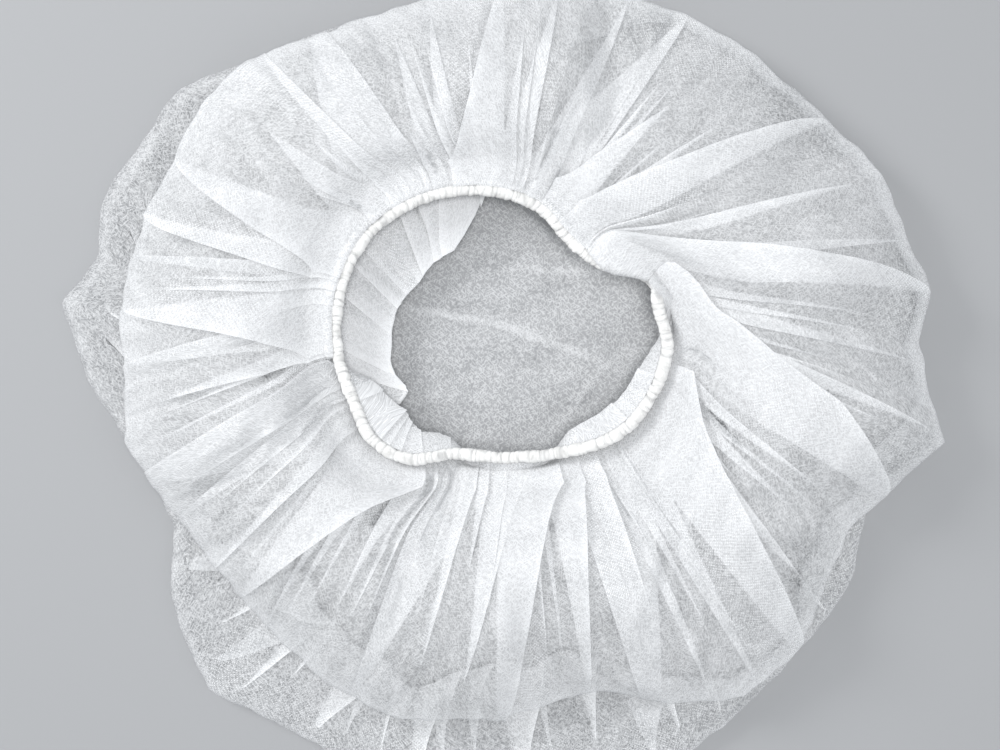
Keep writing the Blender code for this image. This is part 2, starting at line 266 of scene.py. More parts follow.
# %% Control points and the spline
def section_points(angles, corners=CORNERS):
    """Control points of the sheet from its middle to its hem, for each angle."""
    out = level(angles)
    floor, puff = (
        SPREAD_RADIUS
        * mix(around(SECTIONS, fold, angles), cornered(SECTIONS, fold, angles), corners)
        for fold in ("floor", "puff")
    )
    tuck = np.maximum(SPREAD_RADIUS * around(SECTIONS, "tuck", angles), SMALLEST_TUCK)
    if corners:
        floor, puff = (
            fold * (1 + sum(s * np.sin(np.radians(n * angles) + n * p) for n, s in RIM_WAVES))
            for fold, p in ((floor, 1), (puff, 2))
        )
        uneven = sum(share * np.sin(np.radians(n * angles) + n) for n, share in TUCK_WAVES)
        tuck = tuck * (1 + uneven * np.clip(1 - tuck / DEEP_TUCK, 0, 1))
    crest = PUFF_HEIGHT * around(SECTIONS, "crest", angles)
    roll = np.maximum(RING_RADIUS * around(EDGES, "roll", angles), 0.0)
    ring, away = ring_line(angles), ring_outward(angles)
    rolled = eased(roll / ROLL_FULL)
    tuck_reach = np.minimum(floor, puff) - tuck
    tuck_height = mix(FLOOR_FOLD_HEIGHT, PUFF_FOLD_HEIGHT - TUCK_GAP, TUCK_RISE)

    def at(reach, height):
        heights = np.broadcast_to(height, angles.shape)
        return out * reach[..., None] + UP * heights[..., None]

    points = [at((floor - CROWN_FLAT_MARGIN) * share, CLOTH_LEVEL) for share in CROWN_SHARES]
    points += [
        at(floor + FOLD_BULGE, CLOTH_LEVEL),
        at(floor + FOLD_BULGE, FLOOR_FOLD_HEIGHT),
        at(mix(floor, tuck_reach, RETURN_SHARE), FLOOR_FOLD_HEIGHT),
        at(tuck_reach, tuck_height),
        at(tuck_reach, tuck_height + TUCK_GAP),
        at(mix(puff, tuck_reach, RETURN_SHARE), PUFF_FOLD_HEIGHT),
        at(puff + FOLD_BULGE, PUFF_FOLD_HEIGHT),
        at(puff + FOLD_BULGE, mix(PUFF_FOLD_HEIGHT, crest, SHOULDER_RISE)),
    ]
    for row in ROOF:
        fold = out * (puff + FOLD_BULGE)[..., None]
        height = mix(mix(PUFF_FOLD_HEIGHT, crest, row.rise), ring[..., 2], row.fall)
        points.append(mix(fold, ring * (1, 1, 0), row.depth) + UP * height[..., None])
    points.append(
        ring + away * HEM_APPROACH - UP * (rolled * HEM_RADIUS)[..., None]
    )
    covered = eased(1 - np.abs(angles - COVER_AT) / COVER_REACH)
    outside = SEAT_ANGLE_OUTSIDE + COVER_TURN * covered
    seat_angle = np.radians(mix(outside, SEAT_ANGLE_INSIDE, rolled))
    for row in WRAP:
        turned = row.turn * seat_angle
        close = mix(row.distance, 1 + COVER_CLOSENESS * (row.distance - 1), covered)
        distance = close * SEAT_DISTANCE * (1 + COVER_DISTANCE * covered)
        outward = (distance + row.swell * roll) * np.cos(turned)
        lifted = (distance + ROLL_FLATNESS * row.swell * roll) * np.sin(turned)
        points.append(ring + away * outward[..., None] + UP * lifted[..., None])
    return np.stack(points, axis=0)


def spline_at(points, places):
    """The smooth curve of each section, read at places counted in control points."""
    first = 2 * points[:1] - points[1:2]
    last = 2 * points[-1:] - points[-2:-1]
    ends = np.concatenate([first, points, last], axis=0)
    rows = []
    for place in places:
        k = min(int(place), len(points) - 2)
        s = place - k
        a, b, c, d = ends[k], ends[k + 1], ends[k + 2], ends[k + 3]
        rows.append(
            (
                a * (1 - s) ** 3
                + b * (3 * s**3 - 6 * s**2 + 4)
                + c * (-3 * s**3 + 3 * s**2 + 3 * s + 1)
                + d * s**3
            )
            / 6
        )
    return np.stack(rows, axis=0)


SOLID_STEPS = 112
solid_angles = np.arange(SOLID_STEPS) * 360 / SOLID_STEPS
solid_line = spline_at(section_points(solid_angles, corners=0), range(21))
BASE_MIDDLE = (solid_line.min(axis=(0, 1)) + solid_line.max(axis=(0, 1))) / 2 * (1, 1, 0)
print("the base's middle is moved by", np.round(BASE_MIDDLE * 1000, 3), "mm")

# %% [markdown]
# ## The pleats
#
# Gathered paper-like cloth doesn't wave softly: it folds flat into narrow wedges. Each
# wedge starts as a point somewhere on the roof and widens towards the ring. Across a
# pleat the cloth runs forward, back and forward again, so three layers lie on each other,
# and the eye sees a whiter wedge with sharp edges. Round the cap the sheet is cut into
# cells, one for each pleat. In every cell one column of points is the edge that sticks
# out over its neighbours, by nothing at the pleat's own start and most at the ring.
#
# Three kinds of pleat take turns: many narrow ones, some middling ones, and a few broad
# ones that start close to the rim. The tuck below has its own, which start at the rim.
# Beside the hem every column of points also stands a little up or down, as fine gathers.
# pleated_row() gives back which points are folded over, so that the finish can make
# them whiter.

# %% Cells, their pleats and how far each sticks out
rng = np.random.default_rng(41)
CELLS = 126
COLUMNS = 8  # columns of points in a cell
BACK_COLUMNS = 3  # of which run back under the pleat's edge
Pleats = namedtuple("Pleats", "start reach height lean")
cell_widths = rng.uniform(0.65, 1.4, CELLS)
cell_edges = np.concatenate([[0.0], np.cumsum(cell_widths)]) / cell_widths.sum() * 360
# kind of pleat: every how many cells, first cell, and the ranges of its start, reach, height
Kind = namedtuple("Kind", "every first start reach height")
ROOF_KINDS = [
    Kind(1, 0, (0.35, 0.85), (0.0015, 0.0050), (0.0006, 0.0016)),
    Kind(3, 0, (0.06, 0.60), (0.0040, 0.0140), (0.0010, 0.0026)),
    Kind(9, 3, (0.01, 0.25), (0.0160, 0.0320), (0.0022, 0.0038)),
]
# In the tuck a pleat's start is in metres from the rim, and its reach is per metre from there.
TUCK_KINDS = [
    Kind(1, 0, (0.020, 0.060), (0.02, 0.08), (0.0002, 0.0004)),
    Kind(2, 1, (0.004, 0.020), (0.10, 0.30), (0.0004, 0.0009)),
    Kind(6, 5, (0.001, 0.004), (0.25, 0.50), (0.0006, 0.0012)),
]
WIDEST_TUCK_PLEAT = 0.017


def draw_pleats(kinds):
    """Random pleats of these kinds, where a later kind takes its cells from the earlier."""
    columns = [np.zeros(CELLS) for _ in range(3)]
    for kind in kinds:
        cells = np.arange(kind.first, CELLS, kind.every)
        for column, span in zip(columns, (kind.start, kind.reach, kind.height)):
            column[cells] = rng.uniform(*span, len(cells))
    return Pleats(*columns, lean=rng.choice([-1.0, 1.0], CELLS))


roof_pleats = draw_pleats(ROOF_KINDS)
tuck_pleats = draw_pleats(TUCK_KINDS)
fine_rises = rng.normal(0, 1, CELLS * COLUMNS)
fine_starts = rng.uniform(0.45, 0.90, CELLS * COLUMNS)
print(CELLS, "cells; widest pleat", round(roof_pleats.reach.max() * 1000, 1), "mm")

# %% Where each column of points lies on one row
FORWARD_COLUMNS = COLUMNS - BACK_COLUMNS
LOWER_FOLD_PLACE = 4.5  # the spline's place at the lower fold
TUCK_PLACE = 6.5  # and at the tuck's inner crease
FOLD_PLACE = 8.5  # where the upper fold starts
HEM_SIDE_PLACE = 15.0  # beside the hem
HEM_PLACE = 20.0  # its end, on the hem
FINE_GATHERS = 0.00042  # how far the finest gathers stand up or down beside the hem
PRESSED_EDGE = 1.9  # the fold's very edge is whiter still than its layers
HELD_HEIGHT = 0.30  # share of a pleat's height that is left where the hem holds it
TUCK_LIFT_LENGTH = 0.02  # a tuck's pleat has its full height this far from its start
PLEAT_ROUNDNESS = 0.7  # below 1, a pleat rises quickly and then lies flatter
TUCK_END = 0.8  # the tuck's pleats close over this stretch below the upper fold
# Pleats don't run quite straight: whole groups lean aside. Cycles round, degrees, phase.
ROOF_SWAYS = ((3, 2.2, 0.4), (7, 1.8, 2.1), (16, 1.2, 4.4), (29, 0.7, 1.3))
TUCK_SWAYS = ((2, 5.0, 1.9), (5, 3.0, 0.3), (11, 1.6, 3.7), (23, 0.8, 5.2))


def swayed(angles, depth, sways):
    sway = sum(turn * np.sin(np.radians(cycles * angles) + at) for cycles, turn, at in sways)
    return angles + sway * depth * (1.6 - depth)


# %% How far out the plain surface lies, at each cell's edge
edge_points = section_points(cell_edges[1:])


def radius_at(place):
    """How far the plain surface lies from the middle, at each cell's edge."""
    return np.linalg.norm(spline_at(edge_points, [place])[0][:, :2], axis=1)


lower_rim, upper_rim, tuck_crease = (radius_at(place) for place in (3.5, 9.5, TUCK_PLACE))
print("the tuck's crease is", np.round([tuck_crease.min(), tuck_crease.max()], 3), "m from the middle")

# %% One row with its pleats
def pleated_row(place):
    """Each column's angle, height above the plain surface, and 1 where it is folded over."""
    width = np.diff(cell_edges)
    if place < FOLD_PLACE:
        pleats, sways = tuck_pleats, TUCK_SWAYS
        row_depth = max(1 - abs(place - TUCK_PLACE) / (FOLD_PLACE - TUCK_PLACE), 0.0)
        radius = radius_at(max(place, LOWER_FOLD_PLACE))
        inwards = np.maximum(lower_rim - radius, 0)
        if place > TUCK_PLACE:
            share = (upper_rim - radius) / (upper_rim - tuck_crease)
            inwards = np.maximum(share, 0) * (lower_rim - tuck_crease)
            inwards = inwards * eased((FOLD_PLACE - place) / TUCK_END)
        depth = inwards * (place > LOWER_FOLD_PLACE)
        grown = np.maximum(depth - pleats.start, 0)
        reach = np.minimum(pleats.reach * grown, WIDEST_TUCK_PLEAT)
        lift = np.clip(grown / TUCK_LIFT_LENGTH, 0, 1)
    else:
        pleats, sways = roof_pleats, ROOF_SWAYS
        row_depth = min((place - FOLD_PLACE) / (HEM_SIDE_PLACE - FOLD_PLACE), 1.0)
        depth = np.full(CELLS, row_depth)
        radius = mix(SPREAD_RADIUS, RING_RADIUS, depth)
        grown = np.clip((depth - pleats.start) / (1 - pleats.start), 0, 1)
        reach = pleats.reach * grown
        lift = np.sqrt(grown)
    apart = width * BACK_COLUMNS / COLUMNS * (1 - depth / pleats.start)
    sticks_out = np.where(grown > 0, np.degrees(reach / radius), -apart)
    starts = swayed(cell_edges[:-1], row_depth, sways)
    ends = swayed(cell_edges[1:], row_depth, sways)
    edge = ends + sticks_out
    held = eased((place - HEM_SIDE_PLACE) / 2)
    height = pleats.lean * pleats.height * lift * mix(1, HELD_HEIGHT, held)
    angles, heights, folded = [], [], []
    for k in range(COLUMNS):
        if k < FORWARD_COLUMNS:
            share = k / FORWARD_COLUMNS
            angles.append(mix(starts, edge, share))
            heights.append(height * share**PLEAT_ROUNDNESS)
            folded.append((grown > 0) * (angles[-1] > ends))
        else:
            share = (k - FORWARD_COLUMNS) / BACK_COLUMNS
            angles.append(mix(edge, ends, share))
            heights.append(height * (1 - share))
            folded.append((grown > 0) * (PRESSED_EDGE if k == FORWARD_COLUMNS else 1.0))
    heights = np.stack(heights, axis=1).ravel()
    if place > FOLD_PLACE:
        near_ring = np.clip((row_depth - fine_starts) / (1 - fine_starts), 0, 1)
        heights += FINE_GATHERS * fine_rises * near_ring * mix(1, HELD_HEIGHT, held)
    return np.stack(angles, axis=1).ravel(), heights, np.stack(folded, axis=1).ravel()


# %% The plain surface under the pleats, and a way to read it at any angle
READ_STEPS = 1440
read_angles = np.arange(READ_STEPS) * 360 / READ_STEPS
read_points = section_points(read_angles)


def plain_row(place):
    """One row of the plain surface and its outward directions, at READ_STEPS angles."""
    step = 0.03
    near = [min(max(p, 0.0), HEM_PLACE) for p in (place - step, place, place + step)]
    before, row, after = spline_at(read_points, near)
    along = after - before
    across = np.roll(row, -1, axis=0) - np.roll(row, 1, axis=0)
    out = np.cross(along, across)
    return row - BASE_MIDDLE, out / np.linalg.norm(out, axis=1, keepdims=True)


def read_row(values, angles):
    """The row's values at any angles, with the ends joined."""
    place = np.mod(angles, 360) / 360 * READ_STEPS
    k = place.astype(int) % READ_STEPS
    share = (place - np.floor(place))[:, None]
    return values[k] * (1 - share) + values[(k + 1) % READ_STEPS] * share


# %% [markdown]
# ## Creases
#
# Thin nonwoven keeps every crease of its packing: short straight ridges that run every way
# on the crown and mostly outwards on the roof. Each is a low tent over a straight line,
# highest in its middle. A few hundred of them, added up, turn a smooth form into paper.

# %% Straight creases, as low tents over the plan
def crease_field(points, creases):
    """Height that the creases add at each point, by its place in the plan."""
    height = np.zeros(len(points))
    for x, y, heading, length, width, rise in creases:
        dx, dy = points[:, 0] - x, points[:, 1] - y
        c, s = math.cos(heading), math.sin(heading)
        along = (dx * c + dy * s) / (length / 2)
        side = np.abs(dy * c - dx * s) / width
        height += rise * np.clip(1 - side, 0, 1) * np.clip(1 - along**2, 0, 1)
    return height


def radial_creases(count, near, far, lengths, widths, rises, wander):
    """Random creases between two radii, that point to the opening but for their wander."""
    made = []
    for _ in range(count):
        turn, radius = rng.uniform(0, 2 * math.pi), rng.uniform(near, far)
        x, y = radius * math.cos(turn), radius * math.sin(turn)
        heading = math.atan2(y - RING_SHIFT_Y, x) + rng.normal(0, wander)
        sign = rng.choice([-1, 1])
        made.append(
            (x, y, heading, rng.uniform(*lengths), rng.uniform(*widths), sign * rng.uniform(*rises))
        )
    return made


roof_creases = radial_creases(
    260, 0.070, 0.158, (0.020, 0.075), (0.0015, 0.0050), (0.0004, 0.0016), 0.45
) + radial_creases(60, 0.075, 0.150, (0.040, 0.095), (0.0070, 0.0160), (0.0012, 0.0034), 0.30)
fold_creases = radial_creases(
    120, 0.100, 0.165, (0.015, 0.060), (0.0020, 0.0060), (0.0004, 0.0012), 0.70
)
crown_creases = radial_creases(
    60, 0.000, 0.120, (0.020, 0.080), (0.0012, 0.0030), (0.0001, 0.0005), 1.50
)
# The crown's own wrinkles that show through the opening, from end to end.
Wrinkle = namedtuple("Wrinkle", "x0 y0 x1 y1 width rise")
WRINKLES = [
    Wrinkle(-0.034, 0.032, 0.000, 0.026, 0.0020, 0.0012),
    Wrinkle(0.000, 0.026, 0.022, 0.018, 0.0018, 0.0014),
    Wrinkle(0.021, 0.019, 0.042, 0.010, 0.0016, 0.0012),
    Wrinkle(0.006, 0.047, 0.037, 0.045, 0.0014, 0.0009),
    Wrinkle(0.021, -0.013, 0.038, 0.010, 0.0014, 0.0008),
]
wrinkle_creases = [
    (
        (w.x0 + w.x1) / 2,
        (w.y0 + w.y1) / 2,
        math.atan2(w.y1 - w.y0, w.x1 - w.x0),
        math.dist((w.x0, w.y0), (w.x1, w.y1)) * 1.35,
        w.width,
        w.rise,
    )
    for w in WRINKLES
]
crown_creases += wrinkle_creases
print(len(roof_creases) + len(fold_creases) + len(crown_creases), "creases")

# %% [markdown]
# ## The sheet, row by row
#
# The sheet is one skin from the crown's middle to the hem. It could be a grid that a cloth
# simulation crumples, but so many folds, pressed so flat, would take hours and cut through
# each other. So it is laid out as closed rows of points, one row for each place on the
# section's line. The crown is flat and needs few points, and the pleats need many. Each
# row is joined to the next by faces, so no seam is left open.

# %% The sheet's rows
# from, to: places on the spline. rows: how many. every: which columns of points are kept.
Stretch = namedtuple("Stretch", "start end rows every")
CROWN_ROWS = 27
STRETCHES = [
    Stretch(0.00, 0.55, 7, 8),
    Stretch(0.65, 2.00, 13, 4),
    Stretch(2.20, 3.40, 6, 2),
    Stretch(3.60, 4.90, 9, 1),
    Stretch(5.05, 6.15, 14, 1),
    Stretch(6.25, 6.75, 4, 1),
    Stretch(6.90, 8.35, 8, 1),
    Stretch(8.50, 10.40, 9, 1),
    Stretch(10.55, 15.00, 32, 1),
    Stretch(15.40, 20.00, 9, 1),
]
crown_shares = np.linspace(0.07, 0.965, CROWN_ROWS)
rows_to_make = [
    (place, part.every)
    for part in STRETCHES
    for place in np.linspace(part.start, part.end, part.rows)
]


def roof_share(place):
    """1 on the open roof, and 0 at its fold and at the ring."""
    return eased((place - 9.0) / 2.0) * (1 - eased((place - 13.0) / 2.0))


def creased(points, place):
    """The points of one row, lifted by the creases that belong to it."""
    if place <= 2.0:
        rise = np.maximum(crease_field(points, crown_creases), 0)
        rise *= 1 - eased(place - 1.0)
    elif place < FOLD_PLACE:
        rise = crease_field(points, fold_creases) * eased((place - 3.5) / 1.5)
    else:
        rise = crease_field(points, roof_creases) * roof_share(place)
        rise += crease_field(points, fold_creases) * (1 - eased((place - 8.5) / 2.0))
    lifted = points.copy()
    lifted[:, 2] = np.maximum(lifted[:, 2] + rise, CLOTH_LEVEL)
    return lifted


sheet_rows = []
folded_rows = [np.zeros(1 + CELLS * COLUMNS // STRETCHES[0].every * CROWN_ROWS)]
first_row, _ = plain_row(0.0)
crown_angles = pleated_row(0.0)[0][:: STRETCHES[0].every]
for share in crown_shares:
    points = read_row(first_row, crown_angles) * (share, share, 1)
    sheet_rows.append(creased(points, 0.0))
for place, every in rows_to_make:
    row, outward = plain_row(place)
    angles, heights, folded = (values[::every] for values in pleated_row(place))
    folded_rows.append(folded)
    points = read_row(row, angles) + read_row(outward, angles) * heights[:, None]
    sheet_rows.append(creased(points, place))
print(len(sheet_rows), "rows of", len(crown_angles), "to", len(angles), "points")

# %% The sheet's mesh
def join_rows(first, second):
    """Faces between two closed rows of vertex numbers; the second may be finer."""
    ratio = len(second) // len(first)
    count = len(first)
    faces = []
    for i in range(count):
        j = (i + 1) % count
        far = [second[(i * ratio + k) % len(second)] for k in range(ratio, -1, -1)]
        faces.append([first[i], first[j], *far])
    return faces


def linked(name, data):
    """A new object of this data, in the scene."""
    made = bpy.data.objects.new(name, data)
    bpy.context.scene.collection.objects.link(made)
    return made


def mesh_from(name, points, faces, edges=()):
    mesh = bpy.data.meshes.new(name)
    mesh.from_pydata([tuple(p) for p in points], edges, faces)
    mesh.update()
    return linked(name, mesh)


numbers, count = [], 1
for row in sheet_rows:
    numbers.append(list(range(count, count + len(row))))
    count += len(row)
centre = np.array([[0, 0, CLOTH_LEVEL]]) - BASE_MIDDLE
sheet_points = np.concatenate([centre, *sheet_rows])
sheet_faces = [
    [0, numbers[0][(i + 1) % len(numbers[0])], numbers[0][i]] for i in range(len(numbers[0]))
]
for lower, upper in zip(numbers, numbers[1:]):
    sheet_faces += join_rows(lower, upper)
cap_cloth = mesh_from("cap_cloth", sheet_points, sheet_faces)
triangles = sum(len(face) - 2 for face in sheet_faces)
print("cap_cloth:", len(sheet_points), "points,", triangles, "triangles")

# %% [markdown]
# ## The cloth's own pattern follows the cloth
#
# The fibres and the small bond points belong to the cloth, not to the table. On the crown,
# which lies flat, the plan itself is a good map. On the folds and the roof each cell gets a
# strip of the map: along it runs the distance from the sheet's middle, and across it the
# distance along the row, so the pattern isn't pulled wide where a pleat is broad.

# %% Distances along the sheet
def sheet_reaches():
    """For each row, every point's distance from the sheet's middle along its own section."""
    plain = [first_row * (share, share, 1) for share in crown_shares]
    plain += [plain_row(place)[0] for place, _ in rows_to_make]
    fine = np.repeat(cell_edges[:-1], COLUMNS) + np.tile(
        np.arange(COLUMNS) / COLUMNS, CELLS
    ) * np.repeat(np.diff(cell_edges), COLUMNS)
    run, before, reaches, own_angles = np.zeros(READ_STEPS), plain[0] * (0, 0, 1), [], []
    for row, points in zip(plain, sheet_rows):
        run = run + np.linalg.norm(row - before, axis=1)
        before = row
        own = fine[:: len(fine) // len(points)]
        reaches.append(read_row(run[:, None], own)[:, 0])
        own_angles.append(np.radians(own))
    return reaches, own_angles, run


reaches, own_angles, whole_reach = sheet_reaches()
flat = np.concatenate(
    [np.zeros((1, 2))]
    + [np.stack([np.cos(a) * r, np.sin(a) * r], axis=1) for r, a in zip(reaches, own_angles)]
)
print("a section is", np.round(whole_reach.min(), 3), "to", np.round(whole_reach.max(), 3), "m long")


# %% The map, corner by corner
def strip_corners(row):
    """Across and along distances at both sides of each face of a full row."""
    points, reach = sheet_rows[row], reaches[row]
    steps = np.linalg.norm(np.roll(points, -1, axis=0) - points, axis=1).reshape(CELLS, COLUMNS)
    run = np.cumsum(steps, axis=1)
    left = np.concatenate([np.zeros((CELLS, 1)), run[:, :-1]], axis=1) + strip_starts[:, None]
    right = run + strip_starts[:, None]
    return (
        np.stack([left.ravel(), reach], axis=1),
        np.stack([right.ravel(), np.roll(reach, -1)], axis=1),
    )


strip_starts = rng.uniform(0, 1, CELLS)
corners = [sheet_points[face, :2] for face in sheet_faces[: len(numbers[0])]]
faces_done = len(numbers[0])
for row, (lower, upper) in enumerate(zip(numbers, numbers[1:])):
    if len(lower) == len(upper) == CELLS * COLUMNS:
        near_left, near_right = strip_corners(row)
        far_left, far_right = strip_corners(row + 1)
        corners.append(np.stack([near_left, near_right, far_right, far_left], axis=1).reshape(-1, 2))
    else:
        corners += [sheet_points[f, :2] for f in sheet_faces[faces_done : faces_done + len(lower)]]
    faces_done += len(lower)
cloth_map = cap_cloth.data.uv_layers.new(name="flat_cut")
cloth_map.data.foreach_set("uv", np.concatenate(corners).astype(np.float32).ravel())
cap_cloth.data.shade_smooth()
cap_cloth.data.set_sharp_from_angle(angle=math.radians(50))
# Where a pleat begins, a quad is twisted: half of it faces up and half down. It stays flat.
a, b, c, d = (
    sheet_points[[face[k] if len(face) == 4 else face[0] for face in sheet_faces]] for k in range(4)
)
halves = np.cross(b - a, c - a), np.cross(c - a, d - a)
smooth = (halves[0] * halves[1]).sum(axis=1) >= 0
cap_cloth.data.polygons.foreach_set("use_smooth", smooth)
print((~smooth).sum(), "twisted faces stay flat")

# %% [markdown]
# ## The finish of thin nonwoven
#
# Spunbonded nonwoven is a thin web of long fibres that lie every way, pressed together at
# small points. Light comes through it: one layer looks grey and the stacked layers of a
# pleat look white. So the material is a mix of a clear shader and a white one, and the
# share of white is the web's own density. Three stretched noises give fibres in three
# directions, and two crossed sine waves give rows of tiny bond points. In patches these
# points are made whiter, as a painted glint of the light on them. What changes slowly
# is worked out once and kept on the mesh's points, because that costs the render nothing.

# %% Helpers for node trees
def new_material(name):
    finish = bpy.data.materials.new(name)
    finish.use_nodes = True
    finish.node_tree.nodes.clear()
    return finish, finish.node_tree


def node(tree, kind, inputs=None, **settings):
    """A new node. Each input is a value, or another node's socket that is linked to it."""
    made = tree.nodes.new(kind)
    for key, value in settings.items():
        setattr(made, key, value)
    for key, value in (inputs or {}).items():
        if hasattr(value, "links"):
            tree.links.new(value, made.inputs[key])
        else:
            made.inputs[key].default_value = value
    return made


def maths(tree, operation, *values, clamp=False):
    inputs = dict(enumerate(values))
    return node(tree, "ShaderNodeMath", inputs, operation=operation, use_clamp=clamp).outputs[0]


def ramp(tree, value, low, high):
    """0 below low, 1 above high, and a straight line between."""
    span = {"Value": value, "From Min": low, "From Max": high}
    return node(tree, "ShaderNodeMapRange", span).outputs["Result"]


def mixed(tree, share, first, second):
    """A mix of two shaders, with this share of the second."""
    return node(tree, "ShaderNodeMixShader", {"Fac": share, 1: first, 2: second}).outputs["Shader"]


def attribute(tree, name):
    return node(tree, "ShaderNodeAttribute", attribute_name=name).outputs["Fac"]


# %% The nonwoven's web of fibres
# streaks: cycles a metre, turn in degrees, and how much longer than wide they are.
Streak = namedtuple("Streak", "cycles turn stretch")
STREAKS = [Streak(2500, 24, 0.20), Streak(2700, 78, 0.22), Streak(2200, 137, 0.17)]
FIBRE_SHARE = 0.46  # how much of what is behind it the thickest fibre hides
BOND_PITCH = 0.0013
MEAN_DENSITY = 0.48
THROUGH_SHARE = 0.28  # how much of the light that a fibre catches goes on through it

nonwoven, tree = new_material("thin_nonwoven")
place = node(tree, "ShaderNodeUVMap", uv_map="flat_cut").outputs["UV"]
fibres = None
for streak in STREAKS:
    aside = {
        "Vector": place,
        "Rotation": (0, 0, math.radians(streak.turn)),
        "Scale": (1 / streak.stretch, 1, 1),
    }
    turned = node(tree, "ShaderNodeMapping", aside, vector_type="TEXTURE").outputs["Vector"]
    fine = {"Vector": turned, "Scale": streak.cycles, "Detail": 0.0}
    grain = node(tree, "ShaderNodeTexNoise", fine, noise_dimensions="2D").outputs["Fac"]
    line = ramp(tree, grain, 0.48, 0.76)
    fibres = line if fibres is None else maths(tree, "MAXIMUM", fibres, line)
across = node(tree, "ShaderNodeSeparateXYZ", {"Vector": place})
waves = [
    maths(tree, "SINE", maths(tree, "MULTIPLY", across.outputs[axis], 2 * math.pi / BOND_PITCH))
    for axis in ("X", "Y")
]
bond = ramp(tree, maths(tree, "MULTIPLY", *waves), 0.55, 0.95)
# The bond points are real; where this patchy share makes them whiter, that is a painted glint.
bond_glint = maths(tree, "MULTIPLY", bond, attribute(tree, "painted_bond_glint"))
# Where cloth is thick already, one more fibre hides less, so thick cloth looks smoother.
thickness = attribute(tree, "thickness")
gaps = maths(tree, "SUBTRACT", 1.0, thickness)
hidden = maths(tree, "MULTIPLY", fibres, FIBRE_SHARE)
density = maths(tree, "MULTIPLY_ADD", hidden, gaps, thickness)
density = maths(tree, "ADD", density, bond_glint, clamp=True)

matt = {"Base Color": (0.93, 0.94, 0.955, 1), "Roughness": 0.60}
white = node(tree, "ShaderNodeBsdfPrincipled", matt).outputs["BSDF"]
pale = {"Color": (0.95, 0.96, 0.97, 1)}
through = node(tree, "ShaderNodeBsdfTranslucent", pale).outputs["BSDF"]
clear = node(tree, "ShaderNodeBsdfTransparent").outputs["BSDF"]
web = mixed(tree, density, clear, mixed(tree, THROUGH_SHARE, white, through))
# Shadows can't show single fibres, so for them the web is one even grey, which is quicker.
even = mixed(tree, MEAN_DENSITY, clear, through)
is_shadow = node(tree, "ShaderNodeLightPath").outputs["Is Shadow Ray"]
finish = mixed(tree, is_shadow, web, even)
node(tree, "ShaderNodeOutputMaterial", {"Surface": finish})
cap_cloth.data.materials.append(nonwoven)
print("thin_nonwoven has", len(tree.nodes), "nodes")

# %% [markdown]
# ## Where the cloth is thick and where it is thin
#
# A real sheet isn't even. It is whiter where a pleat is pressed flat and along its creases,
# and clearer where it is stretched over the rim's lobes. Along its folds and round the tuck
# it is also made whiter as painted highlight and painted light. Beside the ring the eye
# sometimes looks between two gathers into the dark. It could be painted on the cloth by
# hand. Here it is added up from the rows and pleats that are known already, as one number
# for each point, which the finish reads as its thickness.

# %% The web's slow changes, kept on the mesh's points
PLAIN_THICKNESS = 0.145
FOLDED_THICKER = 0.24  # a pleat is pressed, so its cloth is whiter; less so on the roof
ROOF_FOLDED = 0.35
# Near the rim the roof is one stretched layer here and there, and shows what is under it.
WINDOW_PLACE = 10.2
WINDOW_LENGTH = 1.6
Window = namedtuple("Window", "turn reach less")
WINDOWS = [
    Window(15, 9, 0.26),
    Window(43, 12, 0.22),
    Window(72, 9, 0.14),
    Window(352, 7, 0.22),
    Window(330, 8, 0.16),
    Window(155, 10, 0.14),
    Window(262, 14, 0.10),
]
LOBE_THINNER = 0.11  # the rim's lobes are stretched flat, without the roof's finest gathers
ROOF_THICKNESS = 0.15  # gathers finer than the mesh, that grow towards the ring
CLOUDS = ((55, 0.035), (140, 0.030))  # cycles a metre, share
LOBES_END = 8.6  # the spline's place
# Shares of painted glint on the bond points, in patches on the roof and on the lobes.
BOND_GLINT_SHOW = 0.45
LOBE_BOND_GLINT_SHOW = 0.40
CROWN_PART = 0.10  # this far from the middle the cloth surely lies in the crown


# %% A slow random pattern
def slow_noise(points, cycles, seed):
    """A smooth random pattern: a dozen plane waves of about one length."""
    draw = np.random.default_rng(seed)
    turns, phases = draw.uniform(0, 2 * math.pi, 12), draw.uniform(0, 2 * math.pi, 12)
    waves = cycles * draw.uniform(0.7, 1.4, 12) * 2 * math.pi
    total = sum(
        np.sin(wave * (points[:, 0] * math.cos(t) + points[:, 1] * math.sin(t)) + p)
        for wave, t, p in zip(waves, turns, phases)
    )
    return total / math.sqrt(6)


# %% Thickness by place, fold and crease
WRINKLE_THICKNESS = 0.45  # the crown's wrinkles are tiny tucks, so more cloth lies there
cloudy = sum(share * slow_noise(flat, cycles, 7 + i) for i, (cycles, share) in enumerate(CLOUDS))
on_crown = np.linalg.norm(flat, axis=1) < CROWN_PART
tucked_in = crease_field(sheet_points, wrinkle_creases) / max(w.rise for w in WRINKLES)
cloudy += np.where(on_crown, WRINKLE_THICKNESS * np.minimum(tucked_in, 1), 0)
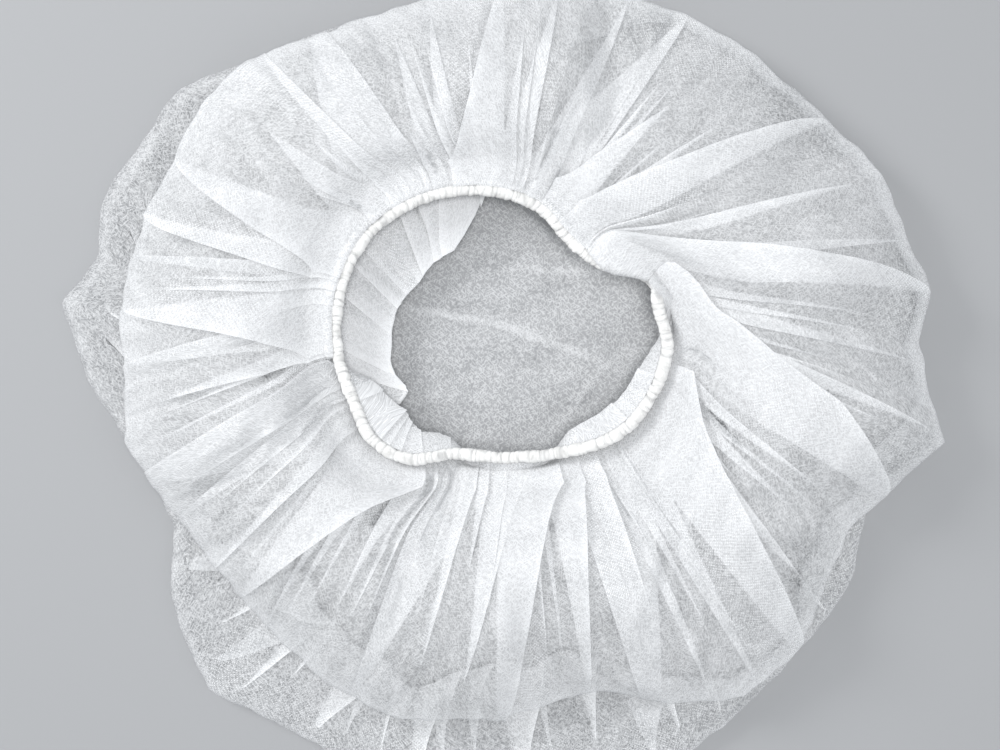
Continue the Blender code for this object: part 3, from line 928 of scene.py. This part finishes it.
# thickness, and the share of painted glint on the bond points
values = {
    "thickness": PLAIN_THICKNESS + cloudy,
    "painted_bond_glint": BOND_GLINT_SHOW * eased(slow_noise(flat, 9, 3) * 0.9 - 0.45) * ~on_crown,
}
places_of = np.concatenate(
    [np.zeros(1 + sum(len(row) for row in sheet_rows[:CROWN_ROWS]))]
    + [np.full(len(row), place) for row, (place, _) in zip(sheet_rows[CROWN_ROWS:], rows_to_make)]
)
values["thickness"] += FOLDED_THICKER * np.concatenate(folded_rows) * mix(
    1, ROOF_FOLDED, places_of > FOLD_PLACE
)
values["thickness"] -= LOBE_THINNER * (places_of > 2.4) * (places_of < LOBES_END)
turns_of = np.degrees(np.arctan2(sheet_points[:, 1], sheet_points[:, 0]))
single = (np.concatenate(folded_rows) == 0) & (places_of > FOLD_PLACE)
for window in WINDOWS:
    aside = np.mod(turns_of - window.turn + 180, 360) - 180
    far = np.hypot(aside / window.reach, (places_of - WINDOW_PLACE) / WINDOW_LENGTH)
    values["thickness"] -= window.less * np.clip(1.5 - 1.5 * far, 0, 1) * single
on_lobes = (places_of > 3.8) & (places_of < LOBES_END)
# The lobes get their own patches of painted glint on the bond points.
values["painted_bond_glint"] += LOBE_BOND_GLINT_SHOW * eased(slow_noise(flat, 14, 9) * 0.9 - 0.25) * on_lobes
values["thickness"] += ROOF_THICKNESS * eased((places_of - 8.5) / 5.5)
# Whiter bands along the folds, partly for the doubled and creased cloth there and partly as a painted
# highlight on their edges; the wide band round the tuck is painted light under the roof, on top of its
# stacked layers. Columns: place, how far from it, how much.
White = namedtuple("White", "place reach more")
WHITER_FOLDS_AND_PAINTED_LIGHT = [
    White(4.0, 0.12, 0.35),
    White(TUCK_PLACE, 0.30, 0.28),
    White(TUCK_PLACE, 1.40, 0.30),
    White(9.4, 0.22, 0.30),
    White(9.6, 1.80, 0.14),
]
# The tuck's bands, with their painted light, show only where the tuck is deep.
tucked_deep = np.clip(around(SECTIONS, "tuck", turns_of) / 0.4, 0, 1) ** 2
for line in WHITER_FOLDS_AND_PAINTED_LIGHT:
    share = np.clip(1 - abs(places_of - line.place) / line.reach, 0, 1)
    if line.place == TUCK_PLACE:
        share = share * tucked_deep
    values["thickness"] += line.more * share

# %% Dark slits, where the eye looks between two gathers beside the ring
SLIT_SHARE = 0.09
SLIT_THINNER = 0.60
SLIT_STARTS = (13.2, 14.8)  # places on the spline
SLIT_END = 15.5
NARROW_PLEAT = 0.006  # only between pleats that reach less than this
MORE_SLITS = 64  # degrees: most of them show on this side of the ring
MORE_SLITS_REACH = 30
MORE_SLITS_TIMES = 2.5
columns_of = np.concatenate(
    [np.zeros(1, int)]
    + [np.arange(len(row)) * (CELLS * COLUMNS // len(row)) for row in sheet_rows]
)
slit_starts = rng.uniform(*SLIT_STARTS, CELLS * COLUMNS)
own_turns = np.repeat(cell_edges[:-1], COLUMNS)
crowd = 1 + MORE_SLITS_TIMES * eased(1 - np.abs(own_turns - MORE_SLITS) / MORE_SLITS_REACH)
slits = rng.uniform(0, 1, CELLS * COLUMNS) < SLIT_SHARE * crowd
slits &= np.repeat(roof_pleats.reach < NARROW_PLEAT, COLUMNS)
in_slit = slits[columns_of] & (places_of > slit_starts[columns_of]) & (places_of < SLIT_END)
values["thickness"] -= SLIT_THINNER * in_slit
print(in_slit.sum(), "points lie in slits")

# %% Both numbers, kept on the mesh's points
for name, value in values.items():
    layer = cap_cloth.data.attributes.new(name, "FLOAT", "POINT")
    layer.data.foreach_set("value", value.astype(np.float32))

# %% [markdown]
# ## The rolled hem
#
# The sheet's edge is turned round the elastic and sewn, so the ring is several layers
# thick: white, opaque and lumpy, because each of its gathers is squeezed on the elastic.
# It is a tube along the elastic's line. Its skin is lifted by slanting ruffles, finer than
# the pleats, and by slow swellings, so no two stretches of it are the same. The valleys
# between the ruffles are darkened towards grey: painted shade.

# %% The hem's tube
HEM_STEPS = 960
HEM_SIDES = 24
RUFFLE_PITCH = 0.0026
RUFFLE_HEIGHT = 0.11  # shares of HEM_RADIUS
SWELLING = 0.09
HEM_FLATNESS = 0.78  # the rolled band is a little lower than wide
HEM_FILLING = 0.86  # its middle size, as a share of HEM_RADIUS
SLOW_SWELLING = 0.03
SLANT_ACROSS = 1.6  # radians by which a ruffle leans over the hem
SLANT_ALONG = 1.3  # and by which ruffles crowd here and part there
# how narrow the painted shade in the ruffles' valleys is
GROOVE_SHADE_NARROWNESS = 2.2


def hem_tube():
    angles = np.arange(HEM_STEPS) * 360 / HEM_STEPS
    line = ring_line(angles) - BASE_MIDDLE
    away = ring_outward(angles)
    run = np.concatenate([[0], np.cumsum(np.linalg.norm(np.diff(line, axis=0), axis=1))])
    ruffles = 2 * math.pi * round(run[-1] / RUFFLE_PITCH) / HEM_STEPS
    turns = np.arange(HEM_SIDES) * 2 * math.pi / HEM_SIDES
    step = np.arange(HEM_STEPS)[:, None]
    uneven = sum(np.sin(np.radians(angles) * cycles + cycles) for cycles in (23, 41, 67))
    slant = ruffles * step + SLANT_ACROSS * np.sin(turns)[None, :] + SLANT_ALONG * uneven[:, None]
    coarse = rng.normal(0, 1, (HEM_STEPS // 6, HEM_SIDES // 4))
    lumps = np.repeat(np.repeat(coarse, 6, axis=0), 4, axis=1)
    for _ in range(3):
        lumps = (lumps + np.roll(lumps, 1, 0) + np.roll(lumps, -1, 0) + np.roll(lumps, 2, 0)) / 4
        lumps = (lumps + np.roll(lumps, 1, 1) + np.roll(lumps, -1, 1)) / 3
    slow = np.sin(np.radians(angles) * 7 + 1)[:, None] + np.sin(np.radians(angles) * 17)[:, None]
    size = HEM_RADIUS * (
        HEM_FILLING
        + RUFFLE_HEIGHT * (np.abs(np.sin(slant / 2)) - 0.5)
        + SWELLING * lumps
        + SLOW_SWELLING * slow
    )
    points = (
        line[:, None, :]
        + away[:, None, :] * (size * np.cos(turns))[..., None]
        + UP * (HEM_FLATNESS * size * np.sin(turns))[..., None]
    )
    # Painted shade in the valleys between the ruffles, less on the lumps.
    groove_shade = np.clip(1 - np.abs(np.sin(slant / 2)) * GROOVE_SHADE_NARROWNESS - 0.5 * lumps, 0, 1)
    return points, run[-1], groove_shade


hem_points, hem_length, hem_groove_shade = hem_tube()
hem_faces = []
for i in range(HEM_STEPS):
    j = (i + 1) % HEM_STEPS
    for k in range(HEM_SIDES):
        m = (k + 1) % HEM_SIDES
        hem_faces.append(
            [i * HEM_SIDES + k, j * HEM_SIDES + k, j * HEM_SIDES + m, i * HEM_SIDES + m]
        )
hem_ring = mesh_from("hem_ring", hem_points.reshape(-1, 3), hem_faces)
hem_ring.data.shade_smooth()
groove_shade_layer = hem_ring.data.attributes.new("painted_groove_shade", "FLOAT", "POINT")
groove_shade_layer.data.foreach_set("value", hem_groove_shade.astype(np.float32).ravel())
print("the hem's ring is", round(hem_length, 3), "m long")

edging, tree = new_material("fuzzy_edging")
place = node(tree, "ShaderNodeTexCoord").outputs["Object"]
strands = node(
    tree, "ShaderNodeTexNoise", {"Vector": place, "Scale": 1500.0, "Detail": 4.0, "Roughness": 0.7}
)
shade = node(tree, "ShaderNodeTexNoise", {"Vector": place, "Scale": 260.0, "Detail": 2.0})
tints = {
    "Factor": ramp(tree, shade.outputs["Fac"], 0.30, 0.62),
    "A": (0.76, 0.757, 0.745, 1),
    "B": (0.90, 0.90, 0.89, 1),
}
tint = node(tree, "ShaderNodeMix", tints, data_type="RGBA")
# The ruffles' valleys are darkened towards grey: painted shade.
painted_groove_shading = {
    "Factor": maths(tree, "MULTIPLY", attribute(tree, "painted_groove_shade"), 0.75),
    "A": tint.outputs["Result"],
    "B": (0.50, 0.50, 0.50, 1),
}
dark = node(tree, "ShaderNodeMix", painted_groove_shading, data_type="RGBA")
height = strands.outputs["Fac"]
fuzz = node(tree, "ShaderNodeBump", {"Strength": 0.6, "Distance": 0.0005, "Height": height})
woolly = {
    "Base Color": dark.outputs["Result"],
    "Roughness": 0.95,
    "Specular IOR Level": 0.15,
    "Normal": fuzz.outputs["Normal"],
}
body = node(tree, "ShaderNodeBsdfPrincipled", woolly).outputs["BSDF"]
glow = node(tree, "ShaderNodeBsdfTranslucent", {"Color": (0.95, 0.94, 0.91, 1)}).outputs["BSDF"]
node(tree, "ShaderNodeOutputMaterial", {"Surface": mixed(tree, 0.10, body, glow)})
hem_ring.data.materials.append(edging)

# %% [markdown]
# ## The hem's stitches
#
# A thread goes over the hem every few millimetres and holds it round the elastic. One
# stitch is a short bent tube, so a small tree of Geometry Nodes makes them all: it walks
# along the hem's line, sets a bent thread square to it at every step, and turns each one a
# little aside. The tree's inputs are the sizes that a sewer would set on the machine.

# %% A node tree for stitches along a line
StitchInput = namedtuple("StitchInput", "name kind value")
STITCH_INPUTS = [
    StitchInput("Pitch", "NodeSocketFloat", 0.0029),
    StitchInput("Bend radius", "NodeSocketFloat", 0.00195),
    StitchInput("Thread radius", "NodeSocketFloat", 0.00012),
    StitchInput("Lean", "NodeSocketFloat", 0.55),
    StitchInput("Seed", "NodeSocketInt", 5),
]


def stitch_tree(finish):
    group = bpy.data.node_groups.new("hem_stitches", "GeometryNodeTree")
    group.interface.new_socket("Line", in_out="INPUT", socket_type="NodeSocketGeometry")
    for row in STITCH_INPUTS:
        group.interface.new_socket(row.name, in_out="INPUT", socket_type=row.kind)
    group.interface.new_socket("Stitches", in_out="OUTPUT", socket_type="NodeSocketGeometry")

    add = partial(node, group)
    given = add("NodeGroupInput").outputs
    curve = add("GeometryNodeMeshToCurve", {"Mesh": given["Line"]})
    spacing = {"Curve": curve.outputs["Curve"], "Length": given["Pitch"]}
    steps = add("GeometryNodeResampleCurve", spacing, mode="LENGTH")
    tangent = add("GeometryNodeInputTangent").outputs["Tangent"]
    along = add("FunctionNodeAlignRotationToVector", {"Vector": tangent}, axis="Z")
    raised = {"Rotation": along.outputs["Rotation"], "Vector": (0, 0, 1)}
    upright = add("FunctionNodeAlignRotationToVector", raised, axis="Y", pivot_axis="Z")
    least = add("ShaderNodeMath", {0: given["Lean"], 1: -1.0}, operation="MULTIPLY")
    draw = {2: least.outputs[0], 3: given["Lean"], "Seed": given["Seed"]}
    lean = add("FunctionNodeRandomValue", draw, data_type="FLOAT")
    turn = add("ShaderNodeCombineXYZ", {"Y": lean.outputs[1]})
    aside = add("FunctionNodeEulerToRotation", {"Euler": turn.outputs["Vector"]})
    both = {"Rotation": upright.outputs["Rotation"], "Rotate By": aside.outputs["Rotation"]}
    turned = add("FunctionNodeRotateRotation", both, rotation_space="LOCAL")
    over_the_hem = {
        "Resolution": 7,
        "Radius": given["Bend radius"],
        "Start Angle": math.radians(-20),
        "Sweep Angle": math.radians(220),
    }
    bend = add("GeometryNodeCurveArc", over_the_hem).outputs["Curve"]
    round_yarn = {"Resolution": 5, "Radius": given["Thread radius"]}
    ring = add("GeometryNodeCurvePrimitiveCircle", round_yarn).outputs["Curve"]
    swept = {"Curve": bend, "Profile Curve": ring, "Fill Caps": True}
    placing = {
        "Points": steps.outputs["Curve"],
        "Instance": add("GeometryNodeCurveToMesh", swept).outputs["Mesh"],
        "Rotation": turned.outputs["Rotation"],
    }
    placed = add("GeometryNodeInstanceOnPoints", placing).outputs["Instances"]
    solid = add("GeometryNodeRealizeInstances", {"Geometry": placed}).outputs["Geometry"]
    dressed = add("GeometryNodeSetMaterial", {"Geometry": solid, "Material": finish})
    add("NodeGroupOutput", {"Stitches": dressed.outputs["Geometry"]})
    return group


# %% Lay the stitches and turn them into a plain mesh
STITCH_STEPS = 480
stitch_angles = np.arange(STITCH_STEPS) * 360 / STITCH_STEPS
hem_line = ring_line(stitch_angles) - BASE_MIDDLE
steps_along = [(i, (i + 1) % STITCH_STEPS) for i in range(STITCH_STEPS)]
hem_stitches = mesh_from("hem_stitches", hem_line, [], edges=steps_along)
maker = hem_stitches.modifiers.new("stitches", "NODES")
maker.node_group = stitch_tree(edging)
for socket in maker.node_group.interface.items_tree:
    for row in STITCH_INPUTS:
        if socket.name == row.name and socket.in_out == "INPUT":
            maker[socket.identifier] = row.value
bpy.context.view_layer.update()
finished = bpy.data.meshes.new_from_object(
    hem_stitches.evaluated_get(bpy.context.evaluated_depsgraph_get())
)
hem_stitches.modifiers.clear()
hem_stitches.data = finished
finished.materials.clear()
finished.materials.append(edging)
finished.polygons.foreach_set("material_index", np.zeros(len(finished.polygons), np.int32))
print("hem_stitches:", len(finished.polygons), "faces")

# %% [markdown]
# ## The elastic
#
# Inside the hem runs a white elastic cord. The solid's own ring has its shape already, so
# it only gets a finish: matte rubber with the fine ribs of the yarn that is wound round it.

# %% The elastic keeps its solid and gets a finer finish
rubber, tree = new_material("white_rubber")
place = node(tree, "ShaderNodeTexCoord").outputs["Object"]
braid = node(tree, "ShaderNodeTexWave", {"Vector": place, "Scale": 900.0, "Distortion": 1.5})
height = braid.outputs["Fac"]
relief = node(tree, "ShaderNodeBump", {"Strength": 0.3, "Distance": 0.0001, "Height": height})
smooth_rubber = {
    "Base Color": (0.87, 0.86, 0.83, 1),
    "Roughness": 0.55,
    "Normal": relief.outputs["Normal"],
}
body = node(tree, "ShaderNodeBsdfPrincipled", smooth_rubber).outputs["BSDF"]
node(tree, "ShaderNodeOutputMaterial", {"Surface": body})
elastic = bpy.data.objects["elastic_cord"]
for slot in elastic.material_slots:
    slot.material = rubber

# %% [markdown]
# ## The table
#
# The table isn't part of the cap. It is a large pale sheet without a pattern, darker than
# the cloth, so that one layer of cloth looks grey on it and many layers look white.

# %% The floor
FLOOR_SIZE = 2.0
floor_mesh = bmesh.new()
bmesh.ops.create_grid(floor_mesh, x_segments=1, y_segments=1, size=FLOOR_SIZE)
table_data = bpy.data.meshes.new("studio_floor")
floor_mesh.to_mesh(table_data)
floor_mesh.free()
studio_floor = linked("studio_floor", table_data)
paper, tree = new_material("pale_floor")
matt = {"Base Color": (0.33, 0.335, 0.345, 1), "Roughness": 0.9}
body = node(tree, "ShaderNodeBsdfPrincipled", matt).outputs["BSDF"]
node(tree, "ShaderNodeOutputMaterial", {"Surface": body})
table_data.materials.append(paper)
print("the floor is", 2 * FLOOR_SIZE, "m wide")

# %% [markdown]
# ## Camera and light
#
# The cap is seen from straight above and fills more than the frame, so that its near and
# far rims run out of the picture. Most light comes softly from overhead, so that the look
# comes from how many layers lie on each other. A second one stands to the left, so the
# pleats throw thin shadows, and a weak one fills from the right.

# %% Camera
VIEW_WIDTH = 0.360
VIEW_LEVEL = 0.018  # the height above the table at which the frame has that width
VIEW_SHIFT_Y = 0.0072
LENS = 60
SENSOR = 36
camera_data = bpy.data.cameras.new("camera")
camera_data.lens = LENS
camera_data.sensor_width = SENSOR
camera = linked("camera", camera_data)
camera.location = (0, VIEW_SHIFT_Y, VIEW_LEVEL + VIEW_WIDTH * LENS / SENSOR)
bpy.context.scene.camera = camera
print("the camera is", round(camera.location.z, 3), "m above the table")

# %% Lights
def soft_light(name, place, target, size, power):
    data = bpy.data.lights.new(name, "AREA")
    data.shape = "DISK"
    data.size = size
    data.energy = power
    light = linked(name, data)
    light.location = place
    light.rotation_euler = (Vector(target) - Vector(place)).to_track_quat("-Z", "Y").to_euler()


soft_light("key_light", (-0.85, 0.50, 0.60), (0, 0, 0), 0.4, 8.4)
soft_light("fill_light", (0.8, -0.5, 0.9), (0, 0, 0), 0.9, 2.5)
soft_light("top_light", (0.05, 0.0, 1.3), (0, 0.02, 0), 0.5, 11.8)
world = bpy.data.worlds.new("studio")
world.use_nodes = True
sky = world.node_tree.nodes["Background"].inputs
sky["Color"].default_value = (0.9, 0.95, 1.0, 1)
sky["Strength"].default_value = 0.42
bpy.context.scene.world = world
bpy.context.scene.view_settings.view_transform = "Standard"
# The light mostly goes straight through the layers, so a few bounces are enough for it.
bounces = bpy.context.scene.cycles
bounces.transparent_max_bounces = 8
bounces.max_bounces = 2
bounces.diffuse_bounces = 1
bounces.transmission_bounces = 2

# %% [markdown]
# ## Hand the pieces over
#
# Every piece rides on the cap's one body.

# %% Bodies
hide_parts("gathered_sheet")
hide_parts("rolled_hem")
for piece, finish in (
    (cap_cloth, "nonwoven_cloth"),
    (hem_ring, "rolled_edging"),
    (hem_stitches, "rolled_edging"),
):
    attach(piece, "root")

# %% A last update of the scene
bpy.context.view_layer.update()
